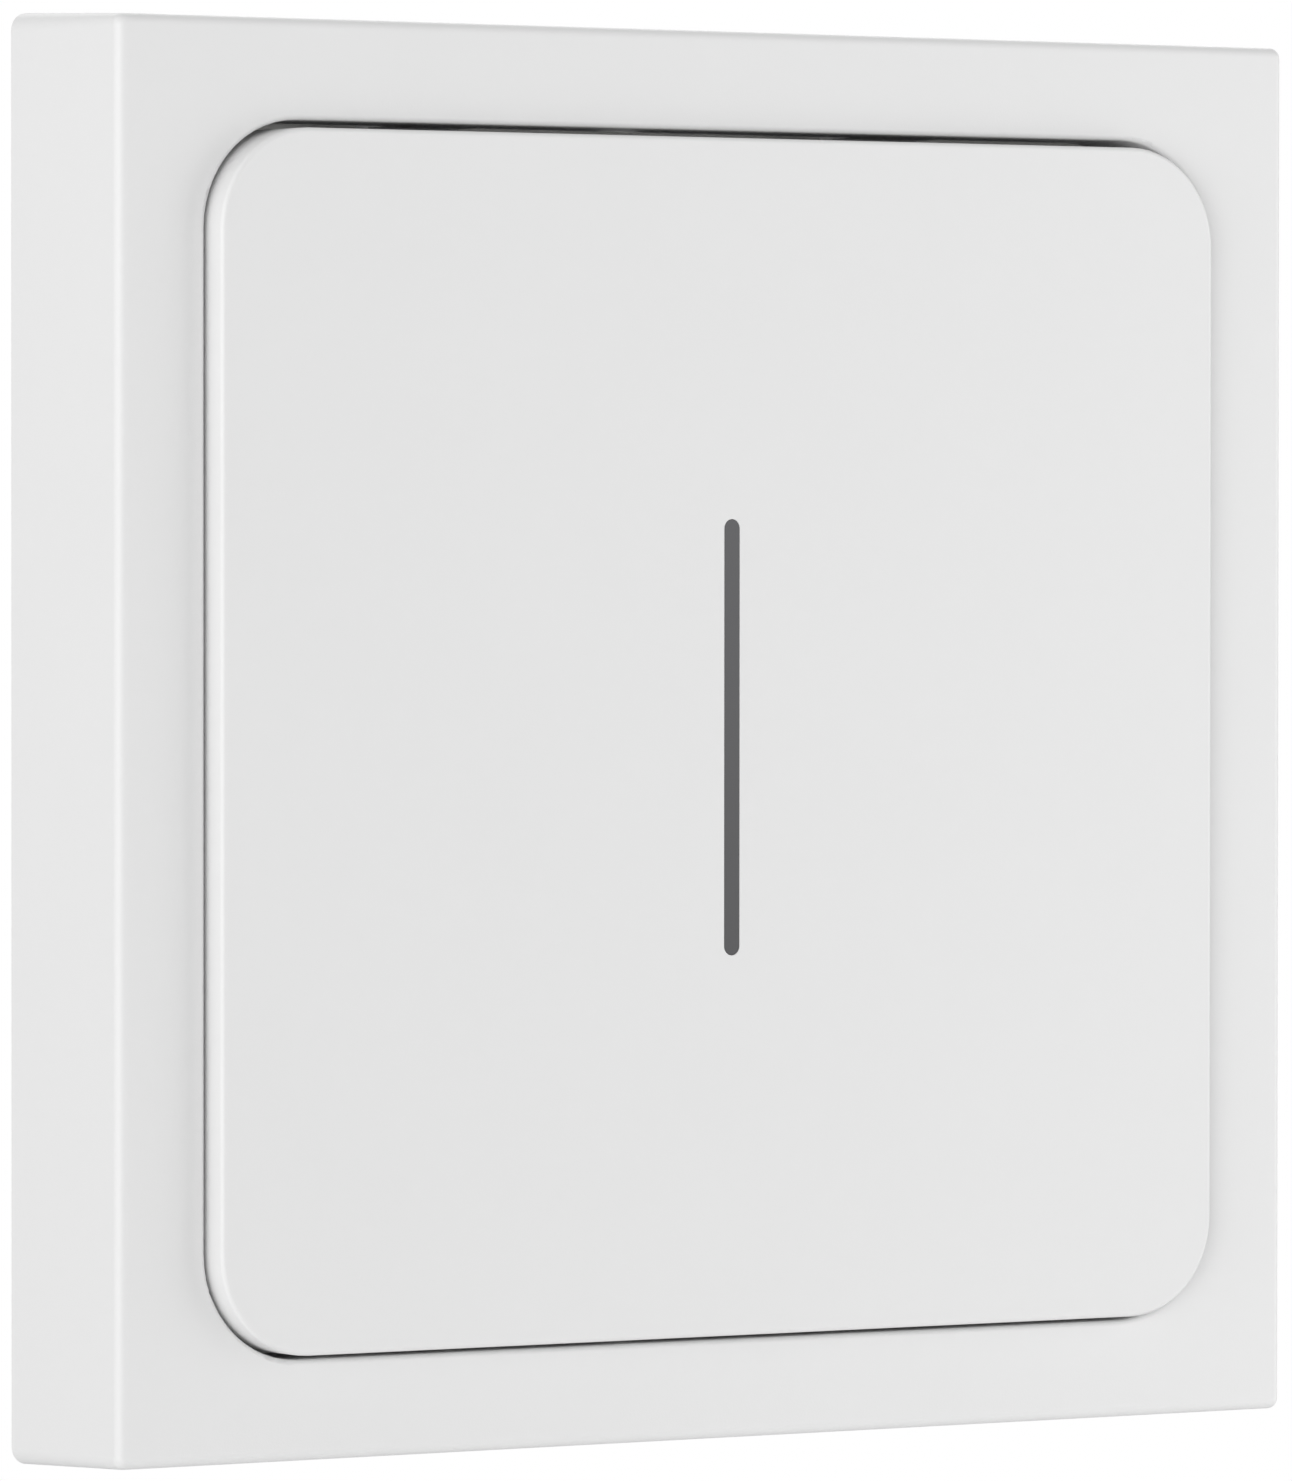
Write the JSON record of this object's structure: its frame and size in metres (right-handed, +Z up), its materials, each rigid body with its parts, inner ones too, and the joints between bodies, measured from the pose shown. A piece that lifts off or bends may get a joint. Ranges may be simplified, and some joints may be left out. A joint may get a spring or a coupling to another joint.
{
  "type": "smart wall dimmer switch",
  "caption": "Square white flush wall dimmer: cover frame, proud sprung push plate with a slim vertical light bar, steel support plate and insert for the wall box.",
  "frame": {"origin": "centre of the support plate's back, on the wall plane, midway between the wall screws", "axes": "+Z up the wall, +X to the right seen from the room, +Y into the wall; the push plate faces -Y"},
  "size_m": [0.0808, 0.0326, 0.0808],
  "materials": {
    "white_moulding": "satin",
    "light_bar": "satin",
    "grey_moulding": "matte",
    "natural_moulding": "satin",
    "insert_moulding": "matte",
    "lid_moulding": "matte",
    "plated_steel": "satin",
    "screw_steel": "polished",
    "spring_steel": "polished",
    "tinned_brass": "satin",
    "board_laminate": "satin",
    "socket_moulding": "satin",
    "epoxy_black": "matte",
    "led_white": "gloss",
    "shield_metal": "satin",
    "ferrite": "matte",
    "copper_wire": "gloss",
    "film_case": "gloss",
    "can_sleeve": "gloss",
    "aluminium_sheet": "satin"
  },
  "bodies": {
    "mounted_parts": {"cover_frame": "white_moulding", "rocker_carrier": "grey_moulding", "carrier_screws": "screw_steel", "upper_spring": "spring_steel", "lower_spring": "spring_steel", "upper_dome": "spring_steel", "lower_dome": "spring_steel", "control_board": "board_laminate", "led_row": "led_white", "light_shroud": "socket_moulding", "controller_chip": "epoxy_black", "radio_module": "board_laminate", "radio_shield": "shield_metal", "header_pins": "tinned_brass", "header_socket": "socket_moulding", "support_plate": "plated_steel", "insert_housing": "insert_moulding", "insert_lid": "lid_moulding", "lid_screws": "screw_steel", "power_board": "board_laminate", "choke_core": "ferrite", "choke_winding": "copper_wire", "film_capacitor": "film_case", "bulk_capacitor": "can_sleeve", "fuse": "epoxy_black", "power_transistors": "epoxy_black", "heat_spreader": "aluminium_sheet", "terminal_cages": "tinned_brass", "terminal_screws": "screw_steel"},
    "push_plate": {"rocker_plate": "white_moulding", "light_guide": "light_bar"},
    "upper_plunger": {"upper_pusher": "natural_moulding"},
    "lower_plunger": {"lower_pusher": "natural_moulding"}
  },
  "joints": [
    {"name": "plate_tilt", "type": "hinge", "parent": "mounted_parts", "child": "push_plate", "pos_m": [0, -0.007, 0], "axis": [1, 0, 0], "range_deg": [-1.2, 1.2], "stiffness_Nm_per_rad": 3},
    {"name": "upper_press", "type": "slide", "parent": "mounted_parts", "child": "upper_plunger", "axis": [0, 1, 0], "range_m": [-0.00047, 0.00047], "deforming": ["upper_spring", "upper_dome"]},
    {"name": "lower_press", "type": "slide", "parent": "mounted_parts", "child": "lower_plunger", "axis": [0, 1, 0], "range_m": [-0.00047, 0.00047], "deforming": ["lower_spring", "lower_dome"]}
  ],
  "couplings": [
    {"joint": "upper_press", "follows": "plate_tilt", "m_per_rad": -0.022},
    {"joint": "lower_press", "follows": "plate_tilt", "m_per_rad": 0.022}
  ]
}
